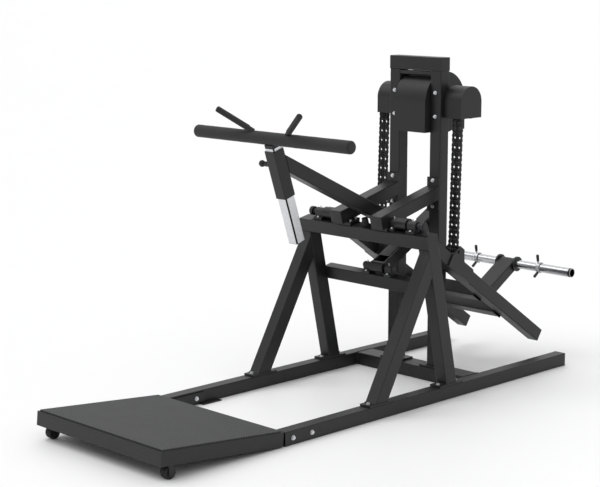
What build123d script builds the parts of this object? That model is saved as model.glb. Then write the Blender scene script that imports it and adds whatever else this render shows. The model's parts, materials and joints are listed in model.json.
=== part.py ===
"""Standing leg press machine, plate loaded, with a chain drive.

A person stands on the tilted platform, takes the padded T-bar on the shoulders and pushes.
The press arm turns on the lower crossbar and its tail pulls the centre chain down. The drive
shaft in the mast winds up the two side chains, and these lift the weight lever.

Millimetres. +Z is up, +Y points from the platform to the loading bar, and X is the width.
The measures below are from the mast side; every node is moved so that the origin ends up in
the middle of the footprint, on the floor.
"""
import os
from math import atan2, cos, degrees, hypot, pi, radians, sin, tan

from build123d import *

os.makedirs("parts", exist_ok=True)

# ---- driving dimensions -------------------------------------------------------------------
TUBE = 70.0                 # width of the frame tubes
WALL = 3.0                  # wall of the frame tubes
CORNER = 5.0                # outer corner radius of the frame tubes
BASE_WIDTH = 905.0          # over both rails
RAIL_FRONT = -672.0         # front ends of the rails
RAIL_REAR = 1498.0          # rear ends of the rails
GAP = 0.4                   # clearance between parts that only face each other

PLATFORM_REAR = -687.0      # lower rear edge of the platform
PLATFORM_LENGTH = 735.0
PLATFORM_HEIGHT = 68.0      # depth of the platform box, without the mat
PLATFORM_LIFT = 4.0         # lower rear edge above the floor
PLATFORM_TILT = 5.3         # degrees, front edge raised
MAT_THICK = 7.0
WHEEL_RADIUS = 31.0
WHEEL_WIDTH = 40.0
WHEEL_Y = -1352.0

LEG_DEPTH = 80.0            # side view depth of the leg tubes
REAR_LEG_FOOT = (519.0, 80.0)       # centre of the rear leg at its flange (y, z)
CROSSBAR_TOP = (350.0, 869.0)       # centre of the top crossbar's upper face
CROSSBAR_HEIGHT = 70.0
FRONT_LEG_FOOT = (-13.0, 80.0)
FRONT_LEG_LEAN = 29.3               # degrees from vertical
FLANGE = 10.0                       # thickness of the bolted flanges

LOWBAR_DEPTH = 60.0
LOWBAR_FRONT = (432.0, 594.0)       # upper front edge

POST_X = 141.5                      # centre of each mast post
MAST_Y = 757.0
MAST_TOP = 1725.0
MAST_HEAD = 71.0                    # height of the head beam
CROSSMEMBER_DEPTH = 120.0

BRACE_WIDTH = 80.0
BRACE_START = (268.0, 940.0)        # upper front edge of a brace
BRACE_END = (712.0, 1055.0)         # upper rear edge, at the flange

SHAFT_Y = 833.0                     # drive shaft axis
SHAFT_Z = 1480.0
SHAFT_R = 15.0
PITCH = 25.4                        # chain pitch
SIDE_TEETH = 15
CENTRE_TEETH = 24
CHAIN_X = 257.0                     # centre of each side chain
CHAIN_WIDTH = 62.0                  # duplex chain over its pins
CENTRE_CHAIN_WIDTH = 33.0           # simplex chain over its pins
CHAIN_DEPTH = 24.0                  # depth of the link plates

CENTRE_GUARD = (682.0, 1006.0)      # front and rear of the centre guard
CENTRE_GUARD_BOTTOM = 1332.0
CENTRE_GUARD_AXIS = 1484.0
SIDE_GUARD = (750.0, 917.0)
SIDE_GUARD_BOTTOM = 1412.0
SIDE_GUARD_AXIS = 1494.0
SIDE_GUARD_OUTER = 292.0
SHEET = 2.0                         # guard sheet thickness

PRESS_PIVOT = (455.0, 638.0)        # axis of the press arm
TAIL_END = (918.0, 889.0)           # chain pin at the tail of the press arm
ARM_LINE = (-66.0, 1160.0)          # a point on the arm's centre line
ARM_SLOPE = 25.4                    # degrees, falling to the rear
SLEEVE_TOP = (-307.0, 1317.0)       # centre of the sleeve's upper end
SLEEVE_LEAN = 18.5                  # degrees, foot of the post to the rear
SLEEVE_LENGTH = 250.0
POST_SIZE = 60.0                    # sliding post
POST_BELOW_BAR = 551.0              # bar axis to the post's lower end
BAR_AXIS = (-325.0, 1371.0)         # T-bar axis
BAR_HALF = 539.0
BAR_RADIUS = 32.0
HOLE_STEP = 50.0                    # spacing of the adjusting holes
BOSS_LENGTH = 54.0                  # housing of the pull pin, on the left of the sleeve

LEVER_PIVOT = (355.0, 905.0)
LEVER_END = (1473.5, 150.6)         # centre of the lever arms' lower end
LEVER_X = 257.0                     # centre of each lever arm
EAR_PIN = (749.0, 716.0)            # side chain pins on the lever
LOADING = (1553.6, 515.0)           # axis of the loading bar
LOADING_HALF = 443.0
LOADING_RADIUS = 25.0
INNER_RADIUS = 24.0                 # inner stretch of a sleeve, under the spring collar
DISC_RADIUS = 42.0
COLLAR_X = 222.0                    # centre of each spring collar
STOP_X = 54.0                       # inner face of each stop disc
STEP_X = 250.0                      # inner end of the full diameter stretch of a sleeve
PIN_R = 8.0                         # chain pins
RUNNING = 0.05                      # radial clearance of a running fit

FRONT_Y = PLATFORM_REAR - PLATFORM_LENGTH * cos(radians(PLATFORM_TILT))
REAR_Y = LOADING[0] + DISC_RADIUS
ORIGIN = Pos(0, -(FRONT_Y + REAR_Y) / 2, 0)
HALF = BASE_WIDTH / 2
INNER = HALF - TUBE

nodes = {}


# ---- shape helpers ------------------------------------------------------------------------
def block(x0, x1, y0, y1, z0, z1):
    """Rectangular block between two corners."""
    return Pos((x0 + x1) / 2, (y0 + y1) / 2, (z0 + z1) / 2) * Box(x1 - x0, y1 - y0, z1 - z0)


def prism(points, x0, x1):
    """Side view outline (y, z) carried across the width from x0 to x1."""
    outline = Plane.YZ * make_face(Polyline(*points, close=True))
    return Pos(x0, 0, 0) * extrude(outline, x1 - x0)


def rod(x0, x1, y, z, radius):
    """Round bar along X."""
    return Pos((x0 + x1) / 2, y, z) * Rot(0, 90, 0) * Cylinder(radius, x1 - x0)


def frame_plane(x, start, end):
    """Plane across a member that runs from start to end in the side view."""
    return Plane(origin=(x, *start), x_dir=(1, 0, 0), z_dir=(0, end[0] - start[0], end[1] - start[1]))


def solid_beam(x, start, end, width, depth, corner=CORNER):
    """Full envelope of a straight member in the side view."""
    length = hypot(end[0] - start[0], end[1] - start[1])
    return extrude(frame_plane(x, start, end) * RectangleRounded(width, depth, corner), length)


def beam(x, start, end, width, depth, wall=WALL, corner=CORNER):
    """Open rectangular tube in the side view."""
    inside = solid_beam(x, start, end, width - 2 * wall, depth - 2 * wall, max(corner - wall, 0.8))
    return solid_beam(x, start, end, width, depth, corner) - inside


def cross_tube(x0, x1, centre, height, depth, tilt=0.0, wall=WALL):
    """Tube along X; tilt in degrees raises its rear edge."""
    plane = Plane(origin=(x0, *centre), x_dir=(0, cos(radians(tilt)), sin(radians(tilt))), z_dir=(1, 0, 0))
    outer = extrude(plane * RectangleRounded(depth, height, CORNER), x1 - x0)
    return outer - extrude(plane * RectangleRounded(depth - 2 * wall, height - 2 * wall, 2), x1 - x0)


def along(start, end, distance):
    """Point at a distance along a side view line."""
    length = hypot(end[0] - start[0], end[1] - start[1])
    return (start[0] + (end[0] - start[0]) * distance / length,
            start[1] + (end[1] - start[1]) * distance / length)


def offset(start, end, point, distance):
    """Point moved square to the line start-end; positive is up for a line to the rear."""
    angle = atan2(end[1] - start[1], end[0] - start[0])
    return point[0] - sin(angle) * distance, point[1] + cos(angle) * distance


def bolt(position, direction, radius=9.0, head=7.0):
    """Hexagon head with its washer; direction points out of the face."""
    plane = Plane(origin=position, z_dir=direction)
    washer = extrude(plane * Circle(radius * 1.3), 2)
    return washer + extrude(plane * RegularPolygon(radius, 6), head + 2)


def both(make):
    """The same thing on the right (+1) and on the left (-1)."""
    return [make(side) for side in (1, -1)]


def span(side, inner, outer):
    """Width range on one side, lowest first."""
    return (inner, outer) if side > 0 else (-outer, -inner)


def ring(x0, x1, y, z, outer, inner):
    """Round tube along X."""
    return rod(x0, x1, y, z, outer) - rod(x0 - 1, x1 + 1, y, z, inner)


def keep(name, shape):
    """Register a node; a list becomes a group of separate solids."""
    shapes = shape if isinstance(shape, list) else [shape]
    solids = [solid for item in shapes for solid in item.solids()]
    nodes[name] = solids


# ---- base ---------------------------------------------------------------------------------
def make_base():
    """Rails, cross member, end caps and the floor tabs."""
    for side, name in ((1, "rail_right"), (-1, "rail_left")):
        keep(name, beam(side * (INNER + TUBE / 2), (RAIL_FRONT, TUBE / 2), (RAIL_REAR - 2, TUBE / 2), TUBE, TUBE))
    keep("base_crossmember", cross_tube(-INNER, INNER, (MAST_Y, TUBE / 2), TUBE, CROSSMEMBER_DEPTH))
    caps = both(lambda side: block(*span(side, INNER, HALF), RAIL_REAR - 2, RAIL_REAR, 0, TUBE))
    tilt = atan2(CROSSBAR_TOP[0] - REAR_LEG_FOOT[0], CROSSBAR_TOP[1] - REAR_LEG_FOOT[1])
    centre = along(CROSSBAR_TOP, REAR_LEG_FOOT, CROSSBAR_HEIGHT / 2)
    for side in (1, -1):
        plane = Plane(origin=(side * HALF, *centre), x_dir=(0, cos(tilt), -sin(tilt)), z_dir=(side, 0, 0))
        caps.append(extrude(plane * RectangleRounded(LEG_DEPTH, CROSSBAR_HEIGHT, CORNER), -2))
    keep("end_caps", caps)
    tab = [block(*span(side, INNER - 32, INNER), -470, -346, 0, 6) - Pos(side * (INNER - 17), -408, 3) *
           Cylinder(7, 8) for side in (1, -1)]
    keep("floor_tabs", tab)


def make_platform():
    """Tilted standing platform with its mat, joint plates and wheels."""
    tilt = radians(PLATFORM_TILT)

    def spot(back, up):
        """Side view point, measured from the lower rear edge along the platform."""
        return (PLATFORM_REAR - back * cos(tilt) + up * sin(tilt),
                PLATFORM_LIFT + back * sin(tilt) + up * cos(tilt))

    def slab(back0, back1, up0, up1, half):
        outline = [spot(back0, up0), spot(back1, up0), spot(back1, up1), spot(back0, up1)]
        return prism(outline, -half, half)

    box = slab(0, PLATFORM_LENGTH, 0, PLATFORM_HEIGHT, HALF)
    bays = [slab(PLATFORM_LENGTH * bay / 3 + WALL, PLATFORM_LENGTH * (bay + 1) / 3 - WALL,
                 WALL, PLATFORM_HEIGHT - WALL, HALF - WALL) for bay in range(3)]
    keep("platform_frame", box - bays)
    keep("platform_mat", slab(9, PLATFORM_LENGTH - 9, PLATFORM_HEIGHT, PLATFORM_HEIGHT + MAT_THICK, HALF - 9))
    plates = both(lambda side: block(*span(side, INNER - 10, INNER), PLATFORM_REAR + 5.6, -442, 12, 60))
    keep("platform_joint_plates", plates)
    bolts = [bolt((side * HALF, y, TUBE / 2), (side, 0, 0)) for side in (1, -1) for y in (-622, -498)]
    bolts += [bolt((side * (INNER - 10), y, TUBE / 2), (-side, 0, 0)) for side in (1, -1) for y in (-622, -498)]
    for side, name in ((1, "wheel_right"), (-1, "wheel_left")):
        x0, x1 = span(side, 400, 400 + WHEEL_WIDTH)
        tyre = fillet(rod(x0, x1, WHEEL_Y, WHEEL_RADIUS, WHEEL_RADIUS).edges(), 4)
        keep(name, tyre - rod(x0 - 1, x1 + 1, WHEEL_Y, WHEEL_RADIUS, 6 + RUNNING))
    brackets = []
    for side in (1, -1):
        brackets.append(rod(*span(side, 392, 448), WHEEL_Y, WHEEL_RADIUS, 6))
        for inner in (392.6, 441):
            ear = block(*span(side, inner, inner + 6), WHEEL_Y - 14, WHEEL_Y + 14, WHEEL_RADIUS - 14, 64)
            brackets.append(ear - rod(*span(side, inner - 1, inner + 7), WHEEL_Y, WHEEL_RADIUS, 6))
    keep("wheel_brackets", brackets)
    return bolts


# ---- A-frames -----------------------------------------------------------------------------
def make_legs():
    """Four leg tubes, the crossbars and their flanges."""
    lean = radians(FRONT_LEG_LEAN)
    leg_top = along(CROSSBAR_TOP, REAR_LEG_FOOT, CROSSBAR_HEIGHT)
    rear_angle = atan2(leg_top[0] - REAR_LEG_FOOT[0], leg_top[1] - REAR_LEG_FOOT[1])
    floor = TUBE + FLANGE
    for side, name in ((1, "right"), (-1, "left")):
        x = side * (INNER + TUBE / 2)
        long_foot = (REAR_LEG_FOOT[0] - tan(rear_angle) * 60, REAR_LEG_FOOT[1] - 60)
        below = block(x - 60, x + 60, -300, 900, -200, floor)
        rear = beam(x, long_foot, leg_top, TUBE, LEG_DEPTH) - below
        keep("rear_leg_" + name, rear)
        start = (FRONT_LEG_FOOT[0] - tan(lean) * 60, FRONT_LEG_FOOT[1] - 60)
        end = (FRONT_LEG_FOOT[0] + tan(lean) * 720, FRONT_LEG_FOOT[1] + 720)
        envelope = solid_beam(x, along(leg_top, long_foot, -300), long_foot, TUBE + 20, LEG_DEPTH, 1)
        front = beam(x, start, end, TUBE, LEG_DEPTH) - below - envelope
        front = sorted(front.solids(), key=lambda solid: solid.volume)[-1]
        keep("front_leg_" + name, front)
    tilt = -degrees(rear_angle)
    centre = along(CROSSBAR_TOP, REAR_LEG_FOOT, CROSSBAR_HEIGHT / 2)
    keep("top_crossbar", cross_tube(-HALF + 2, HALF - 2, centre, CROSSBAR_HEIGHT, LEG_DEPTH, tilt))
    angle = radians(tilt)
    low = (LOWBAR_FRONT[0] + LOWBAR_DEPTH / 2 * cos(angle) + TUBE / 2 * sin(angle),
           LOWBAR_FRONT[1] + LOWBAR_DEPTH / 2 * sin(angle) - TUBE / 2 * cos(angle))
    keep("lower_crossbar", cross_tube(-INNER, INNER, low, TUBE, LOWBAR_DEPTH, tilt))
    flanges = []
    bolts = []
    for side in (1, -1):
        for y0, y1, near in ((-95, 75, -72), (430, 606, 452)):
            flanges.append(block(*span(side, INNER, HALF), y0, y1, TUBE, floor))
            bolts.append(bolt((side * (INNER + TUBE / 2), near, floor), (0, 0, 1)))
            bolts.append(bolt((side * (INNER + TUBE / 2), y1 - 20 if near > 0 else y1 - 14, floor), (0, 0, 1)))
    return bolts, tilt, low, flanges


# ---- mast and braces ----------------------------------------------------------------------
def make_mast(tilt, flanges):
    """Two posts, the head beam with its lifting bar, the feet and the braces."""
    bolts = []
    foot = TUBE + FLANGE
    for side, name in ((1, "right"), (-1, "left")):
        x = side * POST_X
        keep("mast_post_" + name, beam(x, (MAST_Y, foot), (MAST_Y, MAST_TOP - MAST_HEAD), TUBE, TUBE))
    half = POST_X + TUBE / 2
    head = cross_tube(-half, half, (MAST_Y, MAST_TOP - MAST_HEAD / 2), MAST_HEAD, TUBE)
    bar = rod(TUBE / 2 - POST_X, POST_X - TUBE / 2, MAST_Y - 22, MAST_TOP - MAST_HEAD - 14, 12)
    keep("mast_head", [head, bar])
    flanges += both(lambda side: block(*span(side, POST_X - 75, POST_X + 75), MAST_Y - 50, MAST_Y + 50, TUBE, foot))
    bolts += [bolt((side * POST_X + dx, MAST_Y, foot), (0, 0, 1), 8) for side in (1, -1) for dx in (-57, 57)]

    slope = atan2(BRACE_END[1] - BRACE_START[1], BRACE_END[0] - BRACE_START[0])
    drop = (sin(slope) * TUBE / 2, -cos(slope) * TUBE / 2)
    start = (BRACE_START[0] + drop[0], BRACE_START[1] + drop[1])
    end = (BRACE_END[0] + 40 * cos(slope) + drop[0], BRACE_END[1] + 40 * sin(slope) + drop[1])
    front = MAST_Y - TUBE / 2 - FLANGE
    trim = block(-400, 400, front, front + 200, 800, 1300)
    bar_rise = tan(radians(tilt))
    for side, name in ((1, "right"), (-1, "left")):
        x = side * POST_X
        keep("brace_" + name, beam(x, start, end, BRACE_WIDTH, TUBE) - trim)
    for side in (1, -1):
        x = side * POST_X
        flanges.append(block(x - BRACE_WIDTH / 2, x + BRACE_WIDTH / 2, front, front + FLANGE, 930, 1100))
        y0, y1 = CROSSBAR_TOP[0] - 36, CROSSBAR_TOP[0] + 36

        def lower(y):
            return CROSSBAR_TOP[1] + (y - CROSSBAR_TOP[0]) * bar_rise

        def upper(y):
            return BRACE_START[1] - TUBE / cos(slope) + (y - BRACE_START[0]) * tan(slope)

        plate = [(y0, lower(y0)), (y1, lower(y1)), (y1, upper(y1)), (y0, upper(y0))]
        flanges.append(prism(plate, *span(side, POST_X - 65, POST_X + BRACE_WIDTH / 2)))
        normal = (0, -sin(slope), cos(slope))
        bolts += [bolt((x - side * 52, y, upper(y)), normal, 7) for y in (CROSSBAR_TOP[0] - 20, CROSSBAR_TOP[0] + 20)]
        bolts += [bolt((x, front, z), (0, -1, 0), 8) for z in (946, 1084)]
        bolts += [bolt((x, MAST_Y - TUBE / 2, SHAFT_Z + dz), (0, -1, 0), 8) for dz in (-62, 62)]
    keep("frame_flanges", flanges)
    return bolts


def arch(y0, y1, bottom, axis, x0, x1):
    """Guard outline: straight sides with a half round top, as a full solid."""
    radius = (y1 - y0) / 2
    middle = (y0 + y1) / 2
    body = block(x0, x1, y0, y1, bottom, axis)
    return body + rod(x0, x1, middle, axis, radius)


def make_guards():
    """Sheet metal guards over the sprockets, open below."""
    y0, y1 = CENTRE_GUARD
    inner = POST_X - TUBE / 2
    shell = arch(y0, y1, CENTRE_GUARD_BOTTOM, CENTRE_GUARD_AXIS, -inner + GAP, inner - GAP)
    hollow = arch(y0 + SHEET, y1 - SHEET, CENTRE_GUARD_BOTTOM - 1, CENTRE_GUARD_AXIS,
                  -inner + GAP + SHEET, inner - GAP - SHEET)
    shell = shell - hollow - rod(-inner - 5, inner + 5, SHAFT_Y, SHAFT_Z, SHAFT_R + 10)
    keep("centre_guard", shell)
    y0, y1 = SIDE_GUARD
    post = POST_X + TUBE / 2
    for side, name in ((1, "right"), (-1, "left")):
        shell = arch(y0, y1, SIDE_GUARD_BOTTOM, SIDE_GUARD_AXIS, *span(side, post + GAP, SIDE_GUARD_OUTER))
        hollow = arch(y0 + SHEET, y1 - SHEET, SIDE_GUARD_BOTTOM - 1, SIDE_GUARD_AXIS,
                      *span(side, post + GAP + SHEET, SIDE_GUARD_OUTER - SHEET))
        bore = rod(*span(side, post - 5, post + 20), SHAFT_Y, SHAFT_Z, SHAFT_R + 22)
        keep("side_guard_" + name, shell - hollow - bore)


# ---- chain drive --------------------------------------------------------------------------
def sprocket(x0, x1, teeth, rows):
    """Toothed wheel on the drive shaft; rows are the tooth plates' width ranges."""
    pitch_radius = PITCH / (2 * sin(pi / teeth))
    hub = rod(x0, x1, SHAFT_Y, SHAFT_Z, 28)
    for row in rows:
        disc = rod(*row, SHAFT_Y, SHAFT_Z, pitch_radius + 6)
        for tooth in range(teeth):
            angle = 2 * pi * (tooth + 0.5) / teeth
            y, z = SHAFT_Y + pitch_radius * cos(angle), SHAFT_Z + pitch_radius * sin(angle)
            disc -= rod(row[0] - 1, row[1] + 1, y, z, 8.2)
        hub += disc
    return hub - rod(x0 - 1, x1 + 1, SHAFT_Y, SHAFT_Z, SHAFT_R)


def wrap(x0, x1, radius, first, last):
    """Chain lying round a sprocket between two angles in degrees."""
    band = ring(x0, x1, SHAFT_Y, SHAFT_Z, radius + CHAIN_DEPTH / 2, radius + 7)
    far = 3 * radius
    points = [(SHAFT_Y, SHAFT_Z)]
    steps = 6
    for step in range(steps + 1):
        angle = radians(first + (last - first) * step / steps)
        points.append((SHAFT_Y + far * cos(angle), SHAFT_Z + far * sin(angle)))
    return band & prism(points, x0 - 1, x1 + 1)


def make_drive():
    """Drive shaft, sprockets, chain wraps and the chains' straight runs."""
    side_radius = PITCH / (2 * sin(pi / SIDE_TEETH))
    centre_radius = PITCH / (2 * sin(pi / CENTRE_TEETH))
    keep("drive_shaft", fillet(rod(-284, 284, SHAFT_Y, SHAFT_Z, SHAFT_R).edges(), 1.5))
    keep("centre_sprocket", sprocket(-30, 30, CENTRE_TEETH, [(-7, 7)]))
    rows = ((-22, -8), (8, 22))
    for side, name in ((1, "right"), (-1, "left")):
        middle = side * CHAIN_X
        placed = [(middle + a, middle + b) for a, b in rows]
        keep("side_sprocket_" + name, sprocket(middle - 30, middle + 30, SIDE_TEETH, placed))
    half = CHAIN_WIDTH / 2
    wraps = [wrap(-CENTRE_CHAIN_WIDTH / 2, CENTRE_CHAIN_WIDTH / 2, centre_radius, 2, 225)]
    wraps += [wrap(side * CHAIN_X - half, side * CHAIN_X + half, side_radius, 100, 178) for side in (1, -1)]
    keep("chain_wraps", wraps)

    def run(x, pin, top, width, radius, tooth_rows):
        """Straight chain run from its pin up to the sprocket, slotted for the teeth."""
        shape = solid_beam(x, pin, top, width, CHAIN_DEPTH, 4)
        shape += rod(x - width / 2, x + width / 2, *pin, CHAIN_DEPTH / 2)
        shape -= rod(x - width, x + width, *pin, PIN_R + RUNNING)
        for low, high in tooth_rows:
            shape -= rod(x + low - 1, x + high + 1, SHAFT_Y, SHAFT_Z, radius + 6.6)
        return shape

    top = (SHAFT_Y - side_radius, SHAFT_Z - 3)
    for side, name in ((1, "right"), (-1, "left")):
        keep("side_chain_" + name, run(side * CHAIN_X, EAR_PIN, top, CHAIN_WIDTH, side_radius, rows))
    top = (SHAFT_Y + centre_radius, SHAFT_Z - 3)
    keep("centre_chain", run(0, TAIL_END, top, CENTRE_CHAIN_WIDTH, centre_radius, [(-7, 7)]))


def bearing_block(x0, x1, y, z, height, depth, tilt):
    """Bearing block on a face below the axis; tilt follows the face."""
    plane = Plane(origin=(x0, y, z), x_dir=(0, cos(radians(tilt)), sin(radians(tilt))), z_dir=(1, 0, 0))
    base = plane * Pos(0, -height + 8) * Rectangle(depth, 16)
    body = plane * Pos(0, -height / 2) * Rectangle(depth * 0.62, height)
    cap = plane * Circle(depth * 0.31)
    return extrude(base, x1 - x0) + extrude(body, x1 - x0) + extrude(cap, x1 - x0)


def make_bearings(tilt, low):
    """Bearing blocks of the press arm, the weight lever and the drive shaft."""
    blocks = []
    rise = radians(tilt)
    up = (-sin(rise), cos(rise))

    def height_above(point, face):
        return (point[0] - face[0]) * up[0] + (point[1] - face[1]) * up[1]

    lever_height = height_above(LEVER_PIVOT, CROSSBAR_TOP)
    low_top = (low[0] + up[0] * TUBE / 2, low[1] + up[1] * TUBE / 2)
    press_height = height_above(PRESS_PIVOT, low_top)
    for side in (1, -1):
        for inner, outer in ((184, 216), (298, 352)):
            piece = bearing_block(*span(side, inner, outer), *LEVER_PIVOT, lever_height, 76, tilt)
            blocks.append(piece - rod(*span(side, inner - 1, outer + 1), *LEVER_PIVOT, SHAFT_R + RUNNING))
        piece = bearing_block(*span(side, 52, 98), *PRESS_PIVOT, press_height, 60, tilt)
        blocks.append(piece - rod(*span(side, 51, 99), *PRESS_PIVOT, SHAFT_R + RUNNING))
    keep("pivot_blocks", blocks)
    rear = MAST_Y + TUBE / 2
    drive = []
    for side in (1, -1):
        x = side * POST_X
        body = block(x - 19, x + 19, rear, SHAFT_Y, SHAFT_Z - 36, SHAFT_Z + 36) + rod(x - 19, x + 19, SHAFT_Y, SHAFT_Z, 36)
        base = block(x - 22, x + 22, rear, rear + 14, SHAFT_Z - 80, SHAFT_Z + 80)
        drive.append(body + base - rod(x - 30, x + 30, SHAFT_Y, SHAFT_Z, SHAFT_R + RUNNING))
    keep("drive_bearings", drive)
    face = Plane(origin=(0, *CROSSBAR_TOP), x_dir=(1, 0, 0), z_dir=(0, *up))
    keep("arm_bumper", [extrude(face * Circle(24), 4), extrude(face * Pos(0, 0, 4) * Circle(20), 38, taper=6)])


# ---- press arm ----------------------------------------------------------------------------
def make_press_arm():
    """Arm tube, tail tube, sleeve, pivot shaft and the chain fork."""
    slope = radians(ARM_SLOPE)
    lean = radians(SLEEVE_LEAN)
    sleeve_foot = (SLEEVE_TOP[0] + SLEEVE_LENGTH * sin(lean), SLEEVE_TOP[1] - SLEEVE_LENGTH * cos(lean))
    sleeve = beam(0, sleeve_foot, SLEEVE_TOP, TUBE, TUBE, 4.5, 6)
    middle = along(SLEEVE_TOP, sleeve_foot, 84)
    boss = Plane(origin=(1 - TUBE / 2, *middle), z_dir=(-1, 0, 0), x_dir=(0, 1, 0))
    sleeve = sleeve + extrude(boss * Circle(13), BOSS_LENGTH)
    sleeve = sleeve - extrude(boss * Circle(6.3), BOSS_LENGTH + 1) - extrude(boss * Circle(6.3), -20)
    keep("post_sleeve", sleeve)

    tail_start = offset(PRESS_PIVOT, TAIL_END, along(PRESS_PIVOT, TAIL_END, 62), -6)
    tail_stop = offset(PRESS_PIVOT, TAIL_END, along(PRESS_PIVOT, TAIL_END, 470), -6)
    tail = beam(0, tail_start, tail_stop, TUBE, TUBE)
    keep("tail_tube", tail)

    def arm_at(y):
        return y, ARM_LINE[1] - (y - ARM_LINE[0]) * tan(slope)

    arm = beam(0, arm_at(-320), arm_at(760), TUBE, TUBE)
    arm -= solid_beam(0, along(sleeve_foot, SLEEVE_TOP, -200), along(SLEEVE_TOP, sleeve_foot, -200), TUBE + 4, TUBE, 1)
    arm -= solid_beam(0, along(tail_start, tail_stop, -200), along(tail_stop, tail_start, -200), TUBE + 4, TUBE, 1)
    arm = sorted(arm.solids(), key=lambda solid: solid.volume)[-1]
    keep("press_arm_tube", arm)

    hub = ring(-44, 44, *PRESS_PIVOT, 30, SHAFT_R)
    cheeks = []
    for side in (1, -1):
        a = offset(PRESS_PIVOT, TAIL_END, along(PRESS_PIVOT, TAIL_END, 150), 26)
        b = offset(PRESS_PIVOT, TAIL_END, along(PRESS_PIVOT, TAIL_END, 150), -38)
        c = offset(PRESS_PIVOT, TAIL_END, along(PRESS_PIVOT, TAIL_END, 20), -20)
        d = offset(PRESS_PIVOT, TAIL_END, PRESS_PIVOT, 29)
        plate = prism([a, b, c, d], *span(side, TUBE / 2, TUBE / 2 + 8))
        plate += rod(*span(side, TUBE / 2, TUBE / 2 + 8), *PRESS_PIVOT, 29)
        cheeks.append(plate - rod(*span(side, 30, 50), *PRESS_PIVOT, 30))
    keep("press_hub", [hub] + cheeks)
    keep("press_shaft", rod(-104, 104, *PRESS_PIVOT, SHAFT_R))
    fork = []
    for side in (1, -1):
        a = offset(PRESS_PIVOT, TAIL_END, along(PRESS_PIVOT, TAIL_END, 400), 24)
        b = offset(PRESS_PIVOT, TAIL_END, along(PRESS_PIVOT, TAIL_END, 400), -34)
        c = offset(PRESS_PIVOT, TAIL_END, TAIL_END, -26)
        d = offset(PRESS_PIVOT, TAIL_END, TAIL_END, 26)
        ear = prism([a, b, c, d], *span(side, TUBE / 2, TUBE / 2 + 10))
        ear += rod(*span(side, TUBE / 2, TUBE / 2 + 10), *TAIL_END, 26)
        fork.append(ear - rod(-60, 60, *TAIL_END, PIN_R))
    fork.append(rod(-50, 50, *TAIL_END, PIN_R))
    keep("tail_fork", fork)
    return sleeve_foot


def make_tbar(sleeve_foot):
    """Sliding post, T-bar with its foam, handles, grips and the pop pin."""
    lean = radians(SLEEVE_LEAN)
    axis = (sin(lean), -cos(lean))
    bottom = (BAR_AXIS[0] + axis[0] * POST_BELOW_BAR, BAR_AXIS[1] + axis[1] * POST_BELOW_BAR)
    shift = (BAR_AXIS[0] - SLEEVE_TOP[0]) * cos(lean) + (BAR_AXIS[1] - SLEEVE_TOP[1]) * sin(lean)
    bottom = (bottom[0] - shift * cos(lean), bottom[1] - shift * sin(lean))
    head = (BAR_AXIS[0] - shift * cos(lean), BAR_AXIS[1] - shift * sin(lean))
    top = along(head, bottom, 42)
    post = beam(0, bottom, top, POST_SIZE, POST_SIZE, 4, 7)
    pin_spot = along(SLEEVE_TOP, sleeve_foot, 84)
    for step in range(4):
        spot = along(pin_spot, sleeve_foot, step * HOLE_STEP)
        hole = Plane(origin=(0, *spot), x_dir=(0, 1, 0), z_dir=(-1, 0, 0))
        post -= extrude(hole * Circle(6.5), 40)
    keep("adjust_post", post)
    bar_core = rod(-BAR_HALF + 8, BAR_HALF - 8, *head, 19)
    yoke = solid_beam(0, along(head, bottom, 24), along(head, bottom, 42), POST_SIZE, POST_SIZE, 6)
    yoke = yoke + solid_beam(0, head, along(head, bottom, 30), 46, 46, 6)
    core = bar_core + yoke
    keep("tbar_core", core)
    sleeve = fillet(rod(-BAR_HALF, BAR_HALF, *head, BAR_RADIUS).edges(), 10)
    keep("tbar_foam", sleeve - core)
    handles = []
    grips = []
    for side in (1, -1):
        base = Vector(side * 118, head[0] - 6, head[1] + BAR_RADIUS - 3)
        tip = Vector(side * 289, head[0] - 92, head[1] + 134)
        direction = (tip - base).normalized()
        plane = Plane(origin=base, z_dir=direction)
        length = (tip - base).length
        handles.append(extrude(plane * Circle(12.5), length - 4))
        grip = extrude(plane * Circle(15.5), length)
        grip -= extrude(plane * Circle(12.5), length - 4)
        grip &= extrude(Plane(origin=base + direction * 30, z_dir=direction) * Circle(40), length)
        grips.append(grip)
    shell = rod(-BAR_HALF, BAR_HALF, *head, BAR_RADIUS)
    keep("tbar_handles", [handle - shell for handle in handles])
    keep("handle_grips", grips)


def make_pin(sleeve_foot):
    """Pull pin with its ball knob."""
    spot = along(SLEEVE_TOP, sleeve_foot, 84)
    plane = Plane(origin=(-POST_SIZE / 2 - 0.6, *spot), x_dir=(0, 1, 0), z_dir=(-1, 0, 0))
    pin = extrude(plane * Circle(6.2), BOSS_LENGTH + 24)
    ball = plane * Pos(0, 0, BOSS_LENGTH + 26) * Sphere(17)
    keep("pop_pin", pin + ball)


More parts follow.
